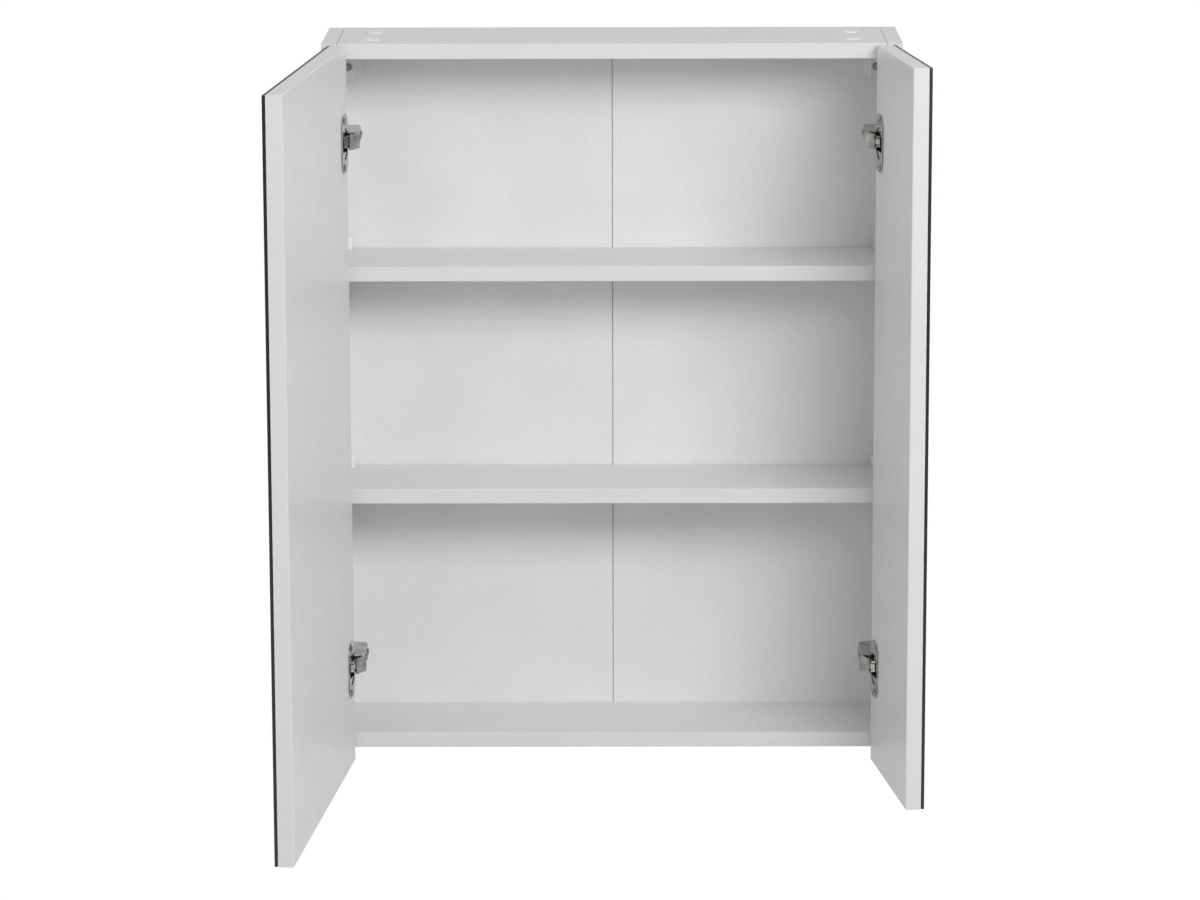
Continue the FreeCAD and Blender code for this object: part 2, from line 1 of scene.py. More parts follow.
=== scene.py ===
import json
import math
import bmesh
import bpy
import numpy as np
from mathutils import Matrix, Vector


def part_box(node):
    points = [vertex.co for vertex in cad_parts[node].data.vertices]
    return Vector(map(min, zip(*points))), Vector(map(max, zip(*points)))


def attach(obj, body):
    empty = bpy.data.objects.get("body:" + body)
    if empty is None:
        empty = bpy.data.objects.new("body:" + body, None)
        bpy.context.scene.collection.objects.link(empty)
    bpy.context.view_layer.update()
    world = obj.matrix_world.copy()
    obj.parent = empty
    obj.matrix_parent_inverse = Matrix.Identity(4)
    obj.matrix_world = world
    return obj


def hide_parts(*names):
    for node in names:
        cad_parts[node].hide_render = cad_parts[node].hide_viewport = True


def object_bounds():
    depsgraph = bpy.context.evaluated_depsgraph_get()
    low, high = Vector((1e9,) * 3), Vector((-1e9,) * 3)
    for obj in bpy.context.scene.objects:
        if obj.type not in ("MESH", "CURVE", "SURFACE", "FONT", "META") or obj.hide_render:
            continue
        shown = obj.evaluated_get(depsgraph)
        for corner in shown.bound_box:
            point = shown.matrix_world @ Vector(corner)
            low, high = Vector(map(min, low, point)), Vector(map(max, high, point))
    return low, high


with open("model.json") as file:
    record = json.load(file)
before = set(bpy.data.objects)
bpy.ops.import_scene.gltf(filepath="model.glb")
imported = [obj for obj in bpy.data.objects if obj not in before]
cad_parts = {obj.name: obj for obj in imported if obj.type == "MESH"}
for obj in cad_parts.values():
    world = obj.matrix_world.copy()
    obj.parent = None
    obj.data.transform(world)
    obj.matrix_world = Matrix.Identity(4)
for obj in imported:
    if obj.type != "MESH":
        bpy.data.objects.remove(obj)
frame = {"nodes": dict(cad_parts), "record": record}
nodes = frame["nodes"]
record = frame["record"]
cadBox = [list(corner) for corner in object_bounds()]
bodyOf = {node: body for body, members in record["behaviour"]["bodies"].items() for node in members}
jointOf = {joint["name"]: joint for joint in record["behaviour"]["joints"]}
ratioOf = {coupling["joint"]: coupling["ratio"] for coupling in record["behaviour"]["couplings"]}
print("frame loaded:", len(nodes), "nodes")


def hexToLinear(code):
    # sRGB hex to linear RGBA: ((c + 0.055) / 1.055) ^ 2.4 above 0.04045, c / 12.92 below
    values = [int(code[i:i + 2], 16) / 255 for i in (1, 3, 5)]
    return [c / 12.92 if c <= 0.04045 else ((c + 0.055) / 1.055) ** 2.4 for c in values] + [1.0]


def addNode(tree, kind, settings=None, links=None, **sockets):
    # one node: attributes from settings, values on its sockets, and links as {input: (node, output)}
    node = tree.nodes.new(kind)
    for name, value in (settings or {}).items():
        setattr(node, name, value)
    for name, value in sockets.items():
        node.inputs[name.replace("_", " ")].default_value = value
    for name, (source, output) in (links or {}).items():
        tree.links.new(source.outputs[output], node.inputs[name])
    return node


def newMaterial(name):
    material = bpy.data.materials.new(name)
    material.use_nodes = True
    material.node_tree.nodes.clear()
    return material, material.node_tree


def endMaterial(tree, shader):
    addNode(tree, "ShaderNodeOutputMaterial", links={"Surface": (shader, 0)})


def named(*starts):
    return sorted(name for name in nodes if name.startswith(starts))


melamineLook = {
    "light": "#E9E9E8", "shade": "#E3E3E2",     # the paper's own faint cloudiness
    "cloudSize": 0.18, "pearlSize": 0.0022, "pearlDepth": 0.00004,
    "roughness": 0.36, "roughnessSpread": 0.06, "rubSize": 0.035,
}


def melamineFacedBoard():
    # decor paper pressed under melamine resin against a pearl plate: even white, satin, very fine pits
    look = melamineLook
    material, tree = newMaterial("melamineFacedBoard")
    place = addNode(tree, "ShaderNodeTexCoord")
    cloud = addNode(tree, "ShaderNodeTexNoise", links={"Vector": (place, "Object")},
                    Scale=1 / look["cloudSize"], Detail=3.0, Roughness=0.5)
    pearl = addNode(tree, "ShaderNodeTexNoise", links={"Vector": (place, "Object")},  # real pits are 0.3 mm
                    Scale=1 / look["pearlSize"], Detail=2.0, Roughness=0.6)
    # where cloths have polished it
    rub = addNode(tree, "ShaderNodeTexNoise", links={"Vector": (place, "Object")},
                  Scale=1 / look["rubSize"], Detail=4.0, Roughness=0.55)
    tone = addNode(tree, "ShaderNodeMix", {"data_type": "RGBA"}, {"Factor": (cloud, "Fac")})
    tone.inputs[6].default_value = hexToLinear(look["light"])
    tone.inputs[7].default_value = hexToLinear(look["shade"])
    gloss = addNode(tree, "ShaderNodeMapRange", links={"Value": (rub, "Fac")}, From_Min=0.3, From_Max=0.7,
                    To_Min=look["roughness"] - look["roughnessSpread"],
                    To_Max=look["roughness"] + look["roughnessSpread"])
    bump = addNode(tree, "ShaderNodeBump", links={"Height": (pearl, "Fac")},
                   Strength=0.25, Distance=look["pearlDepth"])
    shader = addNode(tree, "ShaderNodeBsdfPrincipled",
                     links={"Base Color": (tone, 2), "Roughness": (gloss, "Result"),
                            "Normal": (bump, "Normal")})
    endMaterial(tree, shader)
    return material


hardboardLook = {"light": "#F1F1F0", "shade": "#E9E9E8", "fibreSize": 0.004, "fibreShare": 0.5,
                 "blotchSize": 0.12, "roughness": 0.5}


def printedHardboard():
    # thin fibreboard with a white printed and lacquered face: flatter white, faint fibre mottle
    look = hardboardLook
    material, tree = newMaterial("printedHardboard")
    place = addNode(tree, "ShaderNodeTexCoord")
    fibre = addNode(tree, "ShaderNodeTexNoise", links={"Vector": (place, "Object")},
                    Scale=1 / look["fibreSize"], Detail=4.0, Roughness=0.65)
    blotch = addNode(tree, "ShaderNodeTexNoise", links={"Vector": (place, "Object")},
                     Scale=1 / look["blotchSize"], Detail=2.0)
    both = addNode(tree, "ShaderNodeMath", {"operation": "MULTIPLY_ADD"},
                   {0: (fibre, "Fac"), 2: (blotch, "Fac")})
    both.inputs[1].default_value = look["fibreShare"]
    level = addNode(tree, "ShaderNodeMapRange", links={"Value": (both, 0)}, From_Min=0.5, From_Max=1.0)
    tone = addNode(tree, "ShaderNodeMix", {"data_type": "RGBA"}, {"Factor": (level, "Result")})
    tone.inputs[6].default_value = hexToLinear(look["light"])
    tone.inputs[7].default_value = hexToLinear(look["shade"])
    bump = addNode(tree, "ShaderNodeBump", links={"Height": (fibre, "Fac")}, Strength=0.2, Distance=0.00005)
    shader = addNode(tree, "ShaderNodeBsdfPrincipled",
                     links={"Base Color": (tone, 2), "Normal": (bump, "Normal")},
                     Roughness=look["roughness"])
    endMaterial(tree, shader)
    return material


plasticLook = {"light": "#F8F8F6", "shade": "#F1F1EE", "roughness": 0.38, "textureSize": 0.0012}


def mouldedPlastic():
    # injection-moulded ABS from an eroded tool: soft satin with a fine grain
    look = plasticLook
    material, tree = newMaterial("mouldedPlastic")
    place = addNode(tree, "ShaderNodeTexCoord")
    grain = addNode(tree, "ShaderNodeTexNoise", links={"Vector": (place, "Object")},
                    Scale=1 / look["textureSize"], Detail=2.0)
    tone = addNode(tree, "ShaderNodeMix", {"data_type": "RGBA"}, {"Factor": (grain, "Fac")})
    tone.inputs[6].default_value = hexToLinear(look["light"])
    tone.inputs[7].default_value = hexToLinear(look["shade"])
    bump = addNode(tree, "ShaderNodeBump", links={"Height": (grain, "Fac")}, Strength=0.3, Distance=0.00005)
    shader = addNode(tree, "ShaderNodeBsdfPrincipled",
                     links={"Base Color": (tone, 2), "Normal": (bump, "Normal")},
                     Roughness=look["roughness"])
    endMaterial(tree, shader)
    return material


nickelLook = {"light": "#B9B8B5", "shade": "#83827F", "roughness": 0.15, "spread": 0.10,
              "markSize": 0.0016, "stainSize": 0.012}


def nickelPlatedSteel():
    # pressed strip steel, barrel-plated with bright nickel: mirror-like with a tumbled haze and soft stains
    look = nickelLook
    material, tree = newMaterial("nickelPlatedSteel")
    place = addNode(tree, "ShaderNodeTexCoord")
    haze = addNode(tree, "ShaderNodeTexNoise", links={"Vector": (place, "Object")},
                   Scale=1 / look["markSize"], Detail=3.0)
    stain = addNode(tree, "ShaderNodeTexNoise", links={"Vector": (place, "Object")},
                    Scale=1 / look["stainSize"], Detail=3.0)
    level = addNode(tree, "ShaderNodeMapRange", links={"Value": (stain, "Fac")},
                    From_Min=0.35, From_Max=0.65)
    tone = addNode(tree, "ShaderNodeMix", {"data_type": "RGBA"}, {"Factor": (level, "Result")})
    tone.inputs[6].default_value = hexToLinear(look["light"])
    tone.inputs[7].default_value = hexToLinear(look["shade"])
    gloss = addNode(tree, "ShaderNodeMapRange", links={"Value": (haze, "Fac")},
                    To_Min=look["roughness"] - look["spread"] / 2,
                    To_Max=look["roughness"] + look["spread"] / 2)
    bump = addNode(tree, "ShaderNodeBump", links={"Height": (haze, "Fac")}, Strength=0.15, Distance=0.00003)
    shader = addNode(tree, "ShaderNodeBsdfPrincipled",
                     links={"Base Color": (tone, 2), "Roughness": (gloss, "Result"),
                            "Normal": (bump, "Normal")}, Metallic=1.0)
    endMaterial(tree, shader)
    return material


mottleLook = {
    # ground with a fine stone; dark, because it looks into the pane
    "groundGlassEdge": {"tones": ("#1B201E", "#0C0F0E"), "grain": 0.0009, "roughness": 0.3},
    # sprayed grey coat over the silver
    "mirrorBackPaint": {"tones": ("#3C3E40", "#303234"), "grain": 0.006, "roughness": 0.55},
    # rolled rubbery film, nearly black
    "blackBondingFilm": {"tones": ("#161616", "#0E0E0E"), "grain": 0.003, "roughness": 0.6},
    # turned, fluted and left bare
    "turnedBeech": {"tones": ("#D2A878", "#B98C5C"), "grain": 0.003, "roughness": 0.6},
    # cast and tumbled dull
    "dieCastZinc": {"tones": ("#A2A3A6", "#8C8D90"), "grain": 0.001, "roughness": 0.45, "metallic": 1.0},
    # stretched polypropylene, off-white
    "tapeFilm": {"tones": ("#DCDCD8", "#D2D2CE"), "grain": 0.004, "roughness": 0.5},
}


def mottledFinish(name):
    # two close tones of one material, mottled at its own grain size
    look = mottleLook[name]
    material, tree = newMaterial(name)
    place = addNode(tree, "ShaderNodeTexCoord")
    grain = addNode(tree, "ShaderNodeTexNoise", links={"Vector": (place, "Object")},
                    Scale=1 / look["grain"], Detail=3.0)
    tone = addNode(tree, "ShaderNodeMix", {"data_type": "RGBA"}, {"Factor": (grain, "Fac")})
    tone.inputs[6].default_value = hexToLinear(look["tones"][0])
    tone.inputs[7].default_value = hexToLinear(look["tones"][1])
    shader = addNode(tree, "ShaderNodeBsdfPrincipled", links={"Base Color": (tone, 2)},
                     Roughness=look["roughness"], Metallic=look.get("metallic", 0.0))
    endMaterial(tree, shader)
    return material


glassLook = {
    "silver": "#E6EAE9", "waveScale": 11.0, "waveDepth": 0.0002, "dustScale": 60.0,
    # roughness of the silver where it is clean and dusty, and of the glass face over it
    "clean": 0.012, "dusty": 0.05, "face": 0.01,
}


def silveredFloatGlass():
    # silver coat behind 3 mm float glass: a sharp cool reflection with the faintest draw waves
    look = glassLook
    material, tree = newMaterial("silveredFloatGlass")
    place = addNode(tree, "ShaderNodeTexCoord")
    wave = addNode(tree, "ShaderNodeTexNoise", links={"Vector": (place, "Object")},
                   Scale=look["waveScale"], Detail=1.0)
    dust = addNode(tree, "ShaderNodeTexNoise", links={"Vector": (place, "Object")},
                   Scale=look["dustScale"], Detail=5.0)
    haze = addNode(tree, "ShaderNodeMapRange", links={"Value": (dust, "Fac")}, From_Min=0.45, From_Max=0.8,
                   To_Min=look["clean"], To_Max=look["dusty"])
    bump = addNode(tree, "ShaderNodeBump", links={"Height": (wave, "Fac")},
                   Strength=0.05, Distance=look["waveDepth"])
    shader = addNode(tree, "ShaderNodeBsdfPrincipled",
                     links={"Roughness": (haze, "Result"), "Normal": (bump, "Normal")},
                     Metallic=1.0, Coat_Weight=1.0, Coat_Roughness=look["face"])
    shader.inputs["Base Color"].default_value = hexToLinear(look["silver"])
    endMaterial(tree, shader)
    return material


melamine = melamineFacedBoard()
hardboard = printedHardboard()
plastic = mouldedPlastic()
nickel = nickelPlatedSteel()
silvered = silveredFloatGlass()
groundEdge = mottledFinish("groundGlassEdge")
backPaint = mottledFinish("mirrorBackPaint")
blackBond = mottledFinish("blackBondingFilm")
beech = mottledFinish("turnedBeech")
zinc = mottledFinish("dieCastZinc")
tapeFilm = mottledFinish("tapeFilm")
print("materials made")


def addPiece(name, points, faces, materials, *replaced):
    # a mesh in the row frame, with the materials it is given, that rides with the first node it stands for
    mesh = bpy.data.meshes.new(name)
    mesh.from_pydata(points, [], faces)
    for material in materials:
        mesh.materials.append(material)
    mesh.polygons.foreach_set("use_smooth", np.ones(len(mesh.polygons), bool))
    piece = bpy.data.objects.new(name, mesh)
    bpy.context.scene.collection.objects.link(piece)
    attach(piece, bodyOf[replaced[0]])
    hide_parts(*replaced)
    return piece


# an edge is rolled where its two faces turn by more than this, in degrees
edgeLook = {"segments": 2, "solidTurn": 32.0, "sheetTurn": 50.0}


def rollEdges(piece, radius, angle=edgeLook["solidTurn"]):
    bevel = piece.modifiers.new("rolledEdges", "BEVEL")
    bevel.width = radius
    bevel.segments = edgeLook["segments"]
    bevel.limit_method = "ANGLE"
    bevel.angle_limit = math.radians(angle)
    bevel.harden_normals = True
    bevel.miter_outer = "MITER_ARC"


def nodeSurface(name):
    # corners and triangles of a node's mesh as arrays
    mesh = nodes[name].data
    points = np.empty(len(mesh.vertices) * 3)
    mesh.vertices.foreach_get("co", points)
    mesh.calc_loop_triangles()
    triangles = np.empty(len(mesh.loop_triangles) * 3, int)
    mesh.loop_triangles.foreach_get("vertices", triangles)
    return points.reshape(-1, 3), triangles.reshape(-1, 3)


# how near the end, and how near each other, corners count as one (metres), and faces as flat (degrees)
cleaning = {"endBand": 1e-5, "weld": 2e-6, "flat": 0.5}


def rolledCopy(name, material, radius, jointGap=0.0):
    # the node's surface welded and cleaned, its ends drawn in by the joint gap, and its edges rolled over
    points, triangles = nodeSurface(name)
    if jointGap:
        reach = np.abs(points[:, 0]).max()
        atEnd = np.abs(points[:, 0]) > reach - cleaning["endBand"]
        points[atEnd, 0] -= np.sign(points[atEnd, 0]) * jointGap
    work = bmesh.new()
    mesh = bpy.data.meshes.new("scratch")
    mesh.from_pydata(points.tolist(), [], triangles.tolist())
    work.from_mesh(mesh)
    bmesh.ops.remove_doubles(work, verts=work.verts, dist=cleaning["weld"])
    bmesh.ops.dissolve_limit(work, angle_limit=math.radians(cleaning["flat"]),
                             verts=work.verts, edges=work.edges)
    work.verts.index_update()
    corners = [list(vertex.co) for vertex in work.verts]
    faces = [[vertex.index for vertex in face.verts] for face in work.faces]
    work.free()
    bpy.data.meshes.remove(mesh)
    piece = addPiece(name + "_rolled", corners, faces, [material], name)
    if radius:
        rollEdges(piece, radius)
    return piece


boardLook = {"roll": 0.0004, "jointGap": 0.0005}   # a hair of shadow stays where a board's end meets a side


def buildBoards():
    for name in ("top_panel", "bottom_panel"):
        rolledCopy(name, melamine, boardLook["roll"], boardLook["jointGap"])
    for name in named("side_panel", "door_panel") + ["upper_shelf", "lower_shelf"]:
        rolledCopy(name, melamine, boardLook["roll"])


fittingLook = {"plasticRoll": 0.0005, "capRoll": 0.0002, "sheetRoll": 0.00035, "screwRoll": 0.00012}


def buildFittings():
    for name in named("hanger_housing") + ["shelf_clips"]:
        rolledCopy(name, plastic, fittingLook["plasticRoll"])
    rolledCopy("cam_caps", plastic, fittingLook["capRoll"])
    for name in named("hinge_plate_left", "hinge_plate_right", "hinge_cup_left", "hinge_cup_right",
                      "hinge_outer_links", "hinge_inner_links", "hanger_hook"):
        rolledCopy(name, nickel, fittingLook["sheetRoll"])
    for name in named("hinge_plate_screws", "hinge_arm_screws", "hinge_cup_screws", "hanger_screws"):
        rolledCopy(name, nickel, fittingLook["screwRoll"])


armLook = {
    "sheet": 0.0014, "shoulder": 0.0020, "roll": 0.0003,
    "noseLength": 0.0032, "noseDrop": 0.0024, "tailLength": 0.0045, "tailDrop": 0.0030,
    "pressDepth": 0.0006, "pressWidth": 0.0062, "pressFrom": 0.0045, "pressTo": 0.0205,
    "pressRamp": 0.0015, "topBand": 1.2,         # the ramp at each end of the channel; the top, in sheets
    "pressRows": (0.006, 0.024, 13), "tailRowsFrom": 0.026, "tailRows": 9, "endRows": 9,
    "bendSteps": 6, "topSteps": 11,
}


def armSection(width, height):
    # U of sheet: up one cheek, a quarter turn, across, a quarter turn, down; then the same one sheet inside
    sheet, shoulder = armLook["sheet"], armLook["shoulder"]
    bend = np.linspace(0, np.pi / 2, armLook["bendSteps"])
    across = np.linspace(-1, 1, armLook["topSteps"])[1:-1]

    def path(half, top, radius):
        left = np.stack([-half + radius * (1 - np.cos(bend)), top - radius * (1 - np.sin(bend))], 1)
        flat = np.stack([across * (half - radius), np.full(len(across), top)], 1)
        right = left[::-1] * (-1, 1)
        return np.concatenate([[[-half, 0]], left, flat, right, [[half, 0]]])

    outside = path(width / 2, height, shoulder)
    inside = path(width / 2 - sheet, height - sheet, shoulder - sheet)
    return np.concatenate([outside, inside[::-1]])


def buildArm(name):
    # the section carried back from the front; its height falls as a quarter ellipse at the nose and the
    # tail: height(d) = full - drop * (1 - sqrt(1 - (1 - d / length) ^ 2)), and a shallow channel is
    # pressed in the top: depth * (1 - (across / half width) ^ 4), with a ramp at each end
    look = armLook
    low, high = (np.array(corner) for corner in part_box(name))
    inward = -1 if low[0] > 0 else 1
    foot = low[0] if inward > 0 else high[0]
    full, length, middle = high[0] - low[0], high[1] - low[1], (low[2] + high[2]) / 2
    section = armSection(high[2] - low[2], full)
    ends = np.linspace(0, 1, look["endRows"]) ** 2
    tailRows = np.linspace(look["tailRowsFrom"], length - look["tailLength"], look["tailRows"])
    back = np.unique(np.concatenate([look["noseLength"] * ends, np.linspace(*look["pressRows"]), tailRows,
                                     length - look["tailLength"] * ends]))

    def fall(distance, reach, drop):
        part = np.clip(1 - distance / reach, 0, 1)
        return drop * (1 - np.sqrt(1 - part ** 2))

    height = (full - fall(back, look["noseLength"], look["noseDrop"])
              - fall(length - back, look["tailLength"], look["tailDrop"]))
    side = np.broadcast_to(section[:, 0], (len(back), len(section)))
    rise = section[None, :, 1] / full * height[:, None]
    onTop = section[None, :, 1] > full - look["sheet"] * look["topBand"]
    acrossShare = np.clip(1 - (np.abs(side) / (look["pressWidth"] / 2)) ** 4, 0, 1)
    inChannel = np.minimum(back - look["pressFrom"], look["pressTo"] - back)
    along = np.clip(inChannel / look["pressRamp"], 0, 1)[:, None]
    rise = rise - onTop * acrossShare * along * look["pressDepth"]
    points = np.stack([foot + inward * rise, np.broadcast_to((low[1] + back)[:, None], side.shape),
                       middle + side], 2)
    rows, columns = side.shape
    index = np.arange(rows * columns).reshape(rows, columns)
    following = np.roll(index, -1, 1)
    faces = np.stack([index[:-1], index[1:], following[1:], following[:-1]], 2).reshape(-1, 4)
    first = np.arange(columns // 2 - 1)
    rim = np.stack([first, first + 1, columns - 2 - first, columns - 1 - first], 1)
    faces = np.concatenate([faces, rim, rim[:, ::-1] + (rows - 1) * columns])
    if inward > 0:
        faces = faces[:, ::-1]
    piece = addPiece(name + "_pressed", points.reshape(-1, 3).tolist(), faces.tolist(), [nickel], name)
    rollEdges(piece, look["roll"], edgeLook["sheetTurn"])


webLook = {
    # an arc round the pin, between two angles in degrees, and a straight run; lengths are in metres
    "round": 0.0061, "wrapFrom": 21.0, "wrapTo": 30.0, "run": 0.0180,
    "half": 0.0081, "corner": 0.0014, "sheet": 0.0012, "roll": 0.0003,
    "wrapSteps": 12, "runSteps": 9, "cornerSteps": 6, "acrossSteps": 9,
}


def buildLinkWebs(side):
    # sheet that joins the front of a link: an arc round the link's pin, then straight on along its tangent,
    # carried across the width; near each end the half width falls as a quarter circle:
    # half - corner * (1 - sqrt(1 - q ^ 2)), where q goes from 0 a corner's length in to 1 at the end
    look = webLook
    pin = jointOf["inner_links_swing_" + side]["pos_m"]
    inward = 1 if side == "left" else -1
    turn = np.radians(np.linspace(look["wrapFrom"], look["wrapTo"], look["wrapSteps"]))
    run = np.linspace(0, look["run"], look["runSteps"])[1:]
    lastCos, lastSin = math.cos(turn[-1]), math.sin(turn[-1])
    away = np.concatenate([look["round"] * np.cos(turn), look["round"] * lastCos - run * lastSin])
    ahead = np.concatenate([look["round"] * np.sin(turn), look["round"] * lastSin + run * lastCos])
    path = np.concatenate([[0], np.cumsum(np.hypot(np.diff(away), np.diff(ahead)))])
    opening, closing = (look["corner"] * (1 - np.cos(np.linspace(*sweep, look["cornerSteps"])))
                        for sweep in ((0, np.pi / 2), (np.pi / 2, 0)))
    rows = np.concatenate([opening, path[2:-2], path[-1] - closing])
    away, ahead = np.interp(rows, path, away), np.interp(rows, path, ahead)
    near = np.clip(1 - np.minimum(rows, path[-1] - rows) / look["corner"], 0, 1)
    half = look["half"] - look["corner"] * (1 - np.sqrt(1 - near ** 2))
    across = np.linspace(-1, 1, look["acrossSteps"])
    points, faces = [], []
    for arm in named("hinge_arm_" + side):
        low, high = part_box(arm)
        level = (low[2] + high[2]) / 2
        height = level + np.outer(half, across)
        grid = np.stack([np.broadcast_to((pin[0] + inward * away)[:, None], height.shape),
                         np.broadcast_to((pin[1] - ahead)[:, None], height.shape), height], 2)
        index = np.arange(height.size).reshape(height.shape) + sum(map(len, points))
        quads = np.stack([index[:-1, :-1], index[1:, :-1], index[1:, 1:], index[:-1, 1:]], 2).reshape(-1, 4)
        points.append(grid.reshape(-1, 3))
        faces += quads[:, ::-inward].tolist()
    piece = addPiece("hinge_link_webs_" + side, np.concatenate(points).tolist(), faces, [nickel],
                     "hinge_inner_links_" + side)
    wall = piece.modifiers.new("sheet", "SOLIDIFY")
    wall.thickness = look["sheet"]
    wall.offset = 0
    rollEdges(piece, look["roll"], edgeLook["sheetTurn"])


shoulderLook = {"radius": 0.01635, "chord": 0.0089, "under": 0.0008, "depth": 0.0085, "roll": 0.0006,
                "arcSteps": 24}


def buildCupShoulders(side):
    # a cup is pressed only as wide as its links need, so each side of it is a filled segment of a disc:
    # an arc of the inside radius closed by its chord, carried straight down from just under the flange
    look = shoulderLook
    opened = openTurn(side)
    start = math.asin(look["chord"] / look["radius"])
    arc = np.linspace(start, np.pi - start, look["arcSteps"])
    outline = look["radius"] * np.stack([np.cos(arc), np.sin(arc)], 1)
    points, faces = [], []
    for cup in named("hinge_cup_" + side):
        shut = turnedBy(nodeSurface(cup)[0], -opened)
        low, high = shut.min(0), shut.max(0)
        centre = (low + high) / 2
        for way in (1, -1):
            ring = outline[::way]
            across, up = centre[0] + ring[:, 0], centre[2] + way * ring[:, 1]
            first = sum(map(len, points))
            for drop in (look["under"], look["under"] + look["depth"]):
                points.append(np.stack([across, np.full(len(ring), high[1] - drop), up], 1))
            face = first + np.arange(len(ring))
            under = face + len(ring)
            walls = np.stack([face, np.roll(face, -1), np.roll(under, -1), under], 1)
            faces += walls.tolist() + [face[::-1].tolist(), under.tolist()]
    points = turnedBy(np.concatenate(points), opened)
    piece = addPiece("hinge_cup_shoulders_" + side, points.tolist(), faces, [nickel],
                     *named("hinge_cup_" + side))
    rollEdges(piece, look["roll"], edgeLook["sheetTurn"])


paneLook = {"corner": 0.0010, "arris": 0.0006, "arrisSteps": 4, "cornerSteps": 5}


def openTurn(side):
    # degrees that a door stands open at rest: its joint's shut end, less what its outer links turn back
    shut = jointOf["door_swing_" + side]["range_deg"][0]
    return shut * (1 + ratioOf["outer_links_swing_" + side]) * (1 if side == "left" else -1)


def turnedBy(points, degrees):  # about the upright axis
    cos, sin = math.cos(math.radians(degrees)), math.sin(math.radians(degrees))
    return points @ np.array([[cos, -sin, 0], [sin, cos, 0], [0, 0, 1]]).T


def buildPane(side):
    # a rounded rectangle carried through the pane's thickness: its inset is 0 at the ground edge and grows
    # along a quarter circle to the arris at the face and at the back, which are closed flat
    look = paneLook
    name = "mirror_" + side
    opened = openTurn(side)
    shut = turnedBy(nodeSurface(name)[0], -opened)
    low, high = shut.min(0), shut.max(0)
    bend = np.linspace(0, np.pi / 2, look["arrisSteps"])
    inset = look["arris"] * (1 - np.sin(bend))
    rowInset = np.concatenate([inset, inset[::-1]])
    rowDepth = np.concatenate([low[1] + look["arris"] * (1 - np.cos(bend)),
                               high[1] - look["arris"] * (1 - np.cos(bend[::-1]))])
    quarter = np.linspace(0, np.pi / 2, look["cornerSteps"])
    angles = np.concatenate([quarter + start for start in (0, np.pi / 2, np.pi, 3 * np.pi / 2)])
    cornerX = np.repeat([1, -1, -1, 1], look["cornerSteps"])
    cornerZ = np.repeat([1, 1, -1, -1], look["cornerSteps"])
    centre, reach = (low + high) / 2, (high - low) / 2 - look["corner"]
    ringX = centre[0] + cornerX * reach[0] + np.outer(look["corner"] - rowInset, np.cos(angles))
    ringZ = centre[2] + cornerZ * reach[2] + np.outer(look["corner"] - rowInset, np.sin(angles))
    points = np.stack([ringX, np.broadcast_to(rowDepth[:, None], ringX.shape), ringZ], 2)
    rows, columns = ringX.shape
    index = np.arange(rows * columns).reshape(rows, columns)
    following = np.roll(index, -1, 1)
    quads = np.stack([index[:-1], following[:-1], following[1:], index[1:]], 2).reshape(-1, 4)[:, ::-1]
    faces = quads.tolist() + [index[0][::-1].tolist(), index[-1].tolist()]
    points = turnedBy(points.reshape(-1, 3), opened)
    piece = addPiece(name + "_pane", points.tolist(), faces, [groundEdge, silvered, backPaint], name)
    kinds = np.zeros(len(faces), int)
    kinds[-2:] = (1, 2)
    piece.data.polygons.foreach_set("material_index", kinds)
    smooth = np.ones(len(faces), bool)
    smooth[-2:] = False
    piece.data.polygons.foreach_set("use_smooth", smooth)


def paint(material, *names):  # puts one material on the named CAD nodes that stay
    for name in names:
        mesh = nodes[name].data
        mesh.materials.clear()
        mesh.materials.append(material)


paint(hardboard, *named("back_panel"))
paint(tapeFilm, "back_seam_tape")
paint(nickel, "cam_bolts", *named("hinge_arm_pins", "hinge_cup_pins"))
paint(zinc, "cam_discs")
paint(beech, "dowels")
paint(blackBond, *named("mirror_bond"))
buildBoards()
print("boards done")
buildFittings()
print("fittings done")
for name in named("hinge_arm_left", "hinge_arm_right"):
    buildArm(name)
for side in ("left", "right"):
    buildLinkWebs(side)
    buildCupShoulders(side)
    buildPane(side)
print("hinge arms and mirror panes done")


studio = {
    "floorDrop": 0.35, "floorSize": 60.0,        # the cabinet hangs clear of the floor
    "floorTone": "#B4B4B4", "floorLift": 0.72,   # the lift is only seen by the camera
    "key": {"turn": 26.0, "height": 27.0, "distance": 2.9, "wide": 1.35, "tall": 1.0, "power": 38.8},
    "fill": {"turn": -56.0, "height": 7.0, "distance": 3.2, "wide": 1.0, "tall": 1.2, "power": 4.5},
    "above": 0.69, "below": 0.32,                # ambient light from the room
    # a painted glow on the floor: a pool of emission, brightest near the cabinet, that only mirror-like
    # reflections see
    "poolNear": 0.8, "poolFar": 7.0, "poolBright": 0.55, "poolDim": 0.12,
}


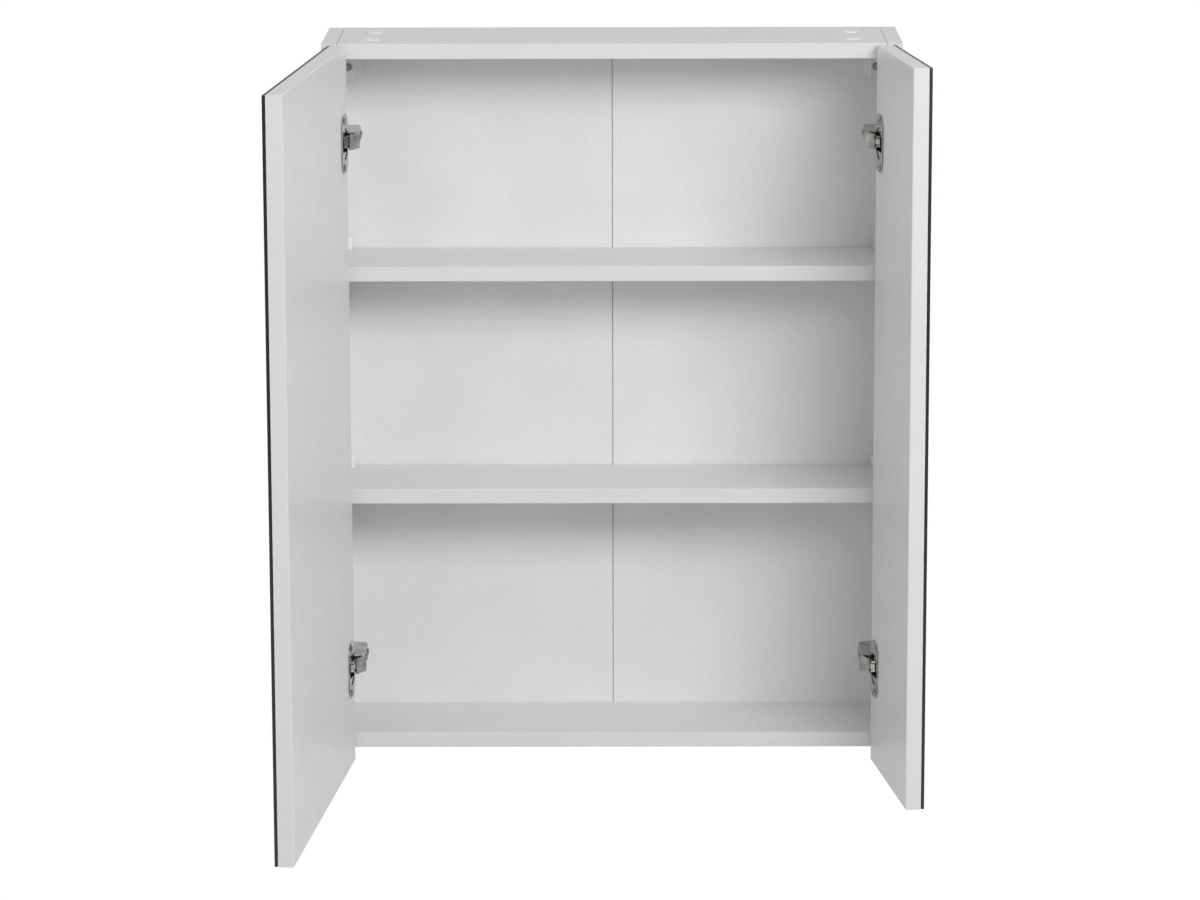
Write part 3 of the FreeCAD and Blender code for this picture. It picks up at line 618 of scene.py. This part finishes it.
def buildFloor():
    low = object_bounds()[0][2] - studio["floorDrop"]
    reach = studio["floorSize"] / 2
    mesh = bpy.data.meshes.new("floor")
    around = ((-1, -1), (1, -1), (1, 1), (-1, 1))
    mesh.from_pydata([(x * reach, y * reach, low) for x, y in around], [], [(0, 1, 2, 3)])
    floor = bpy.data.objects.new("floor", mesh)
    bpy.context.scene.collection.objects.link(floor)
    material, tree = newMaterial("paleStudioFloor")
    matt = addNode(tree, "ShaderNodeBsdfDiffuse", Color=hexToLinear(studio["floorTone"]))
    bright = addNode(tree, "ShaderNodeEmission", Strength=studio["floorLift"])
    place = addNode(tree, "ShaderNodeTexCoord")
    away = addNode(tree, "ShaderNodeVectorMath", {"operation": "LENGTH"}, {0: (place, "Object")})
    pool = addNode(tree, "ShaderNodeMapRange", {"interpolation_type": "SMOOTHSTEP"},
                   {"Value": (away, "Value")}, From_Min=studio["poolNear"], From_Max=studio["poolFar"],
                   To_Min=studio["poolBright"], To_Max=studio["poolDim"])
    # painted glow: emission in a pool round the cabinet, fading outwards, shown to glossy rays only
    paintedGlowPool = addNode(tree, "ShaderNodeEmission", links={"Strength": (pool, "Result")})
    seen = addNode(tree, "ShaderNodeAddShader", links={0: (matt, 0), 1: (paintedGlowPool, 0)})
    lift = addNode(tree, "ShaderNodeAddShader", links={0: (matt, 0), 1: (bright, 0)})
    path = addNode(tree, "ShaderNodeLightPath")
    mirrored = addNode(tree, "ShaderNodeMixShader",
                       links={0: (path, "Is Glossy Ray"), 1: (matt, 0), 2: (seen, 0)})
    endMaterial(tree, addNode(tree, "ShaderNodeMixShader",
                              links={0: (path, "Is Camera Ray"), 1: (mirrored, 0), 2: (lift, 0)}))
    mesh.materials.append(material)


def buildRoomLight():
    # brightness rises from below to above: below + (above - below) * (z + 1) / 2
    world = bpy.data.worlds.new("studio")
    world.use_nodes = True
    tree = world.node_tree
    tree.nodes.clear()
    place = addNode(tree, "ShaderNodeTexCoord")
    split = addNode(tree, "ShaderNodeSeparateXYZ", links={0: (place, "Generated")})
    level = addNode(tree, "ShaderNodeMapRange", links={"Value": (split, "Z")},
                    From_Min=-1.0, From_Max=1.0, To_Min=studio["below"], To_Max=studio["above"])
    room = addNode(tree, "ShaderNodeBackground", links={"Strength": (level, "Result")}, Color=(1, 1, 1, 1))
    white = addNode(tree, "ShaderNodeBackground", Color=(1, 1, 1, 1))
    path = addNode(tree, "ShaderNodeLightPath")
    mix = addNode(tree, "ShaderNodeMixShader",
                  links={0: (path, "Is Camera Ray"), 1: (room, 0), 2: (white, 0)})
    addNode(tree, "ShaderNodeOutputWorld", links={"Surface": (mix, 0)})
    bpy.context.scene.world = world


def buildSoftbox(name):
    # an oval lamp aimed at the object's centre, turned from the front to the right and raised, in degrees
    look = studio[name]
    low, high = (np.array(corner) for corner in cadBox)
    centre = (low + high) / 2
    turn, rise = math.radians(look["turn"]), math.radians(look["height"])
    aim = np.array([math.sin(turn) * math.cos(rise), -math.cos(turn) * math.cos(rise), math.sin(rise)])
    lamp = bpy.data.lights.new(name, "AREA")
    lamp.shape = "ELLIPSE"
    lamp.size = look["wide"]
    lamp.size_y = look["tall"]
    lamp.energy = look["power"]
    softbox = bpy.data.objects.new(name, lamp)
    softbox.location = centre + aim * look["distance"]
    softbox.rotation_euler = (math.pi / 2 - rise, 0, turn)
    softbox.visible_camera = False
    bpy.context.scene.collection.objects.link(softbox)


view = {
    "place": (0.0112, -4.9626, 0.5794), "pitch": 11.724, "yaw": 0.290, "roll": -0.137,
    "lens": 140.59, "sensor": 36.0, "farEnd": 200.0,
}


def buildCamera():
    data = bpy.data.cameras.new("camera")
    data.lens = view["lens"]
    data.sensor_width = view["sensor"]
    data.clip_end = view["farEnd"]
    camera = bpy.data.objects.new("camera", data)
    turn = (Matrix.Rotation(math.radians(view["yaw"]), 4, "Z")
            @ Matrix.Rotation(math.radians(90 - view["pitch"]), 4, "X")
            @ Matrix.Rotation(math.radians(view["roll"]), 4, "Z"))
    camera.matrix_world = Matrix.Translation(view["place"]) @ turn
    bpy.context.scene.collection.objects.link(camera)
    bpy.context.scene.camera = camera


buildFloor()
buildRoomLight()
buildSoftbox("key")
buildSoftbox("fill")
buildCamera()
bpy.context.scene.view_settings.view_transform = "Standard"
print("stage, light and camera ready")
